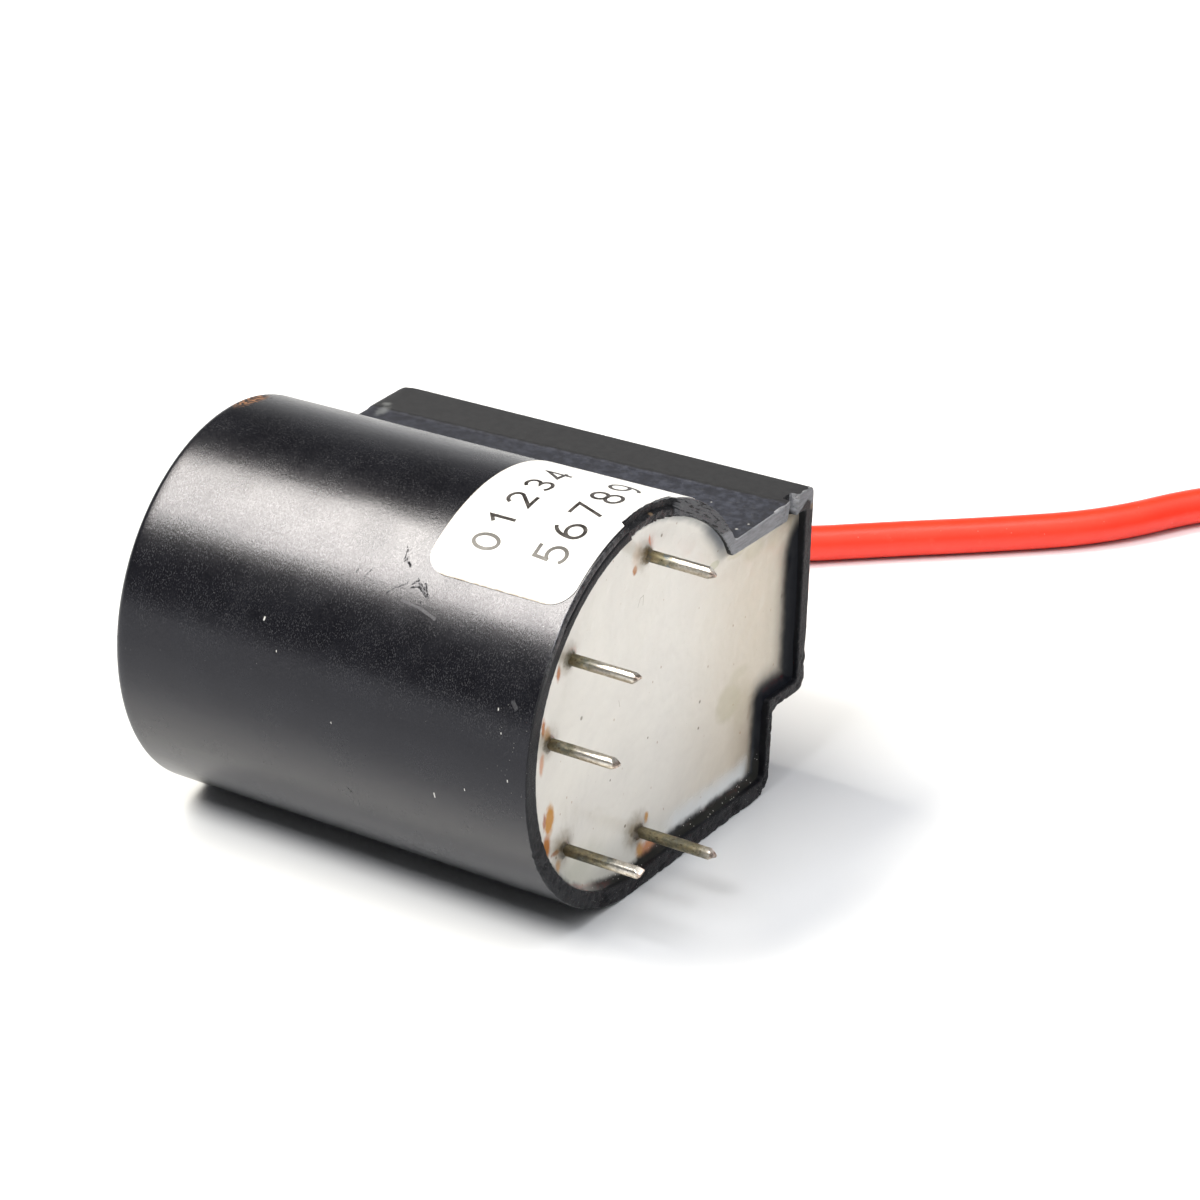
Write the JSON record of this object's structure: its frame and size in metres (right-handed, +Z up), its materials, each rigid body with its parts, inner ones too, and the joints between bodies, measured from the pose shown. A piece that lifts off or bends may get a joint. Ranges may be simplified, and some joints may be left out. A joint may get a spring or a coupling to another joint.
{
  "type": "high frequency transformer",
  "caption": "Potted high frequency flyback transformer in a black moulded case, with wire terminal pins, a blank paper label and a red high-voltage lead.",
  "frame": {"origin": "centre of the underside of the case and pins together, on the surface that the transformer lies on, without its lead", "axes": "+X along the barrel's axis, out of the open rim where the pins are; +Y towards the side lobe and the high-voltage lead; +Z up"},
  "size_m": [0.1085, 0.1456, 0.0401],
  "materials": {
    "case_plastic": "satin",
    "epoxy_resin": "gloss",
    "ferrite": "matte",
    "bobbin_plastic": "satin",
    "enamelled_wire": "gloss",
    "polyester_tape": "gloss",
    "diode_epoxy": "satin",
    "tinned_wire": "satin",
    "tinned_pin": "satin, oxidised",
    "solder": "satin",
    "label_paper": "matte",
    "lead_insulation": "satin"
  },
  "bodies": {
    "root": {"case": "case_plastic", "potting_compound": "epoxy_resin", "ferrite_core": "ferrite", "primary_bobbin": "bobbin_plastic", "primary_winding": "enamelled_wire", "feedback_winding": "enamelled_wire", "primary_tape": "polyester_tape", "secondary_bobbin": "bobbin_plastic", "secondary_winding": "enamelled_wire", "rectifier_body": "diode_epoxy", "rectifier_anode_lead": "tinned_wire", "rectifier_cathode_lead": "tinned_wire", "hv_lead_conductor": "tinned_wire", "hv_lead_inner": "lead_insulation", "solder_joints": "solder", "label": "label_paper", "hv_lead": "lead_insulation", "hv_lead_coil": "lead_insulation", "hv_lead_end": "tinned_wire", "terminal_pin_1": "tinned_pin", "terminal_pin_2": "tinned_pin", "terminal_pin_3": "tinned_pin", "terminal_pin_4": "tinned_pin", "terminal_pin_5": "tinned_pin"}
  },
  "joints": []
}
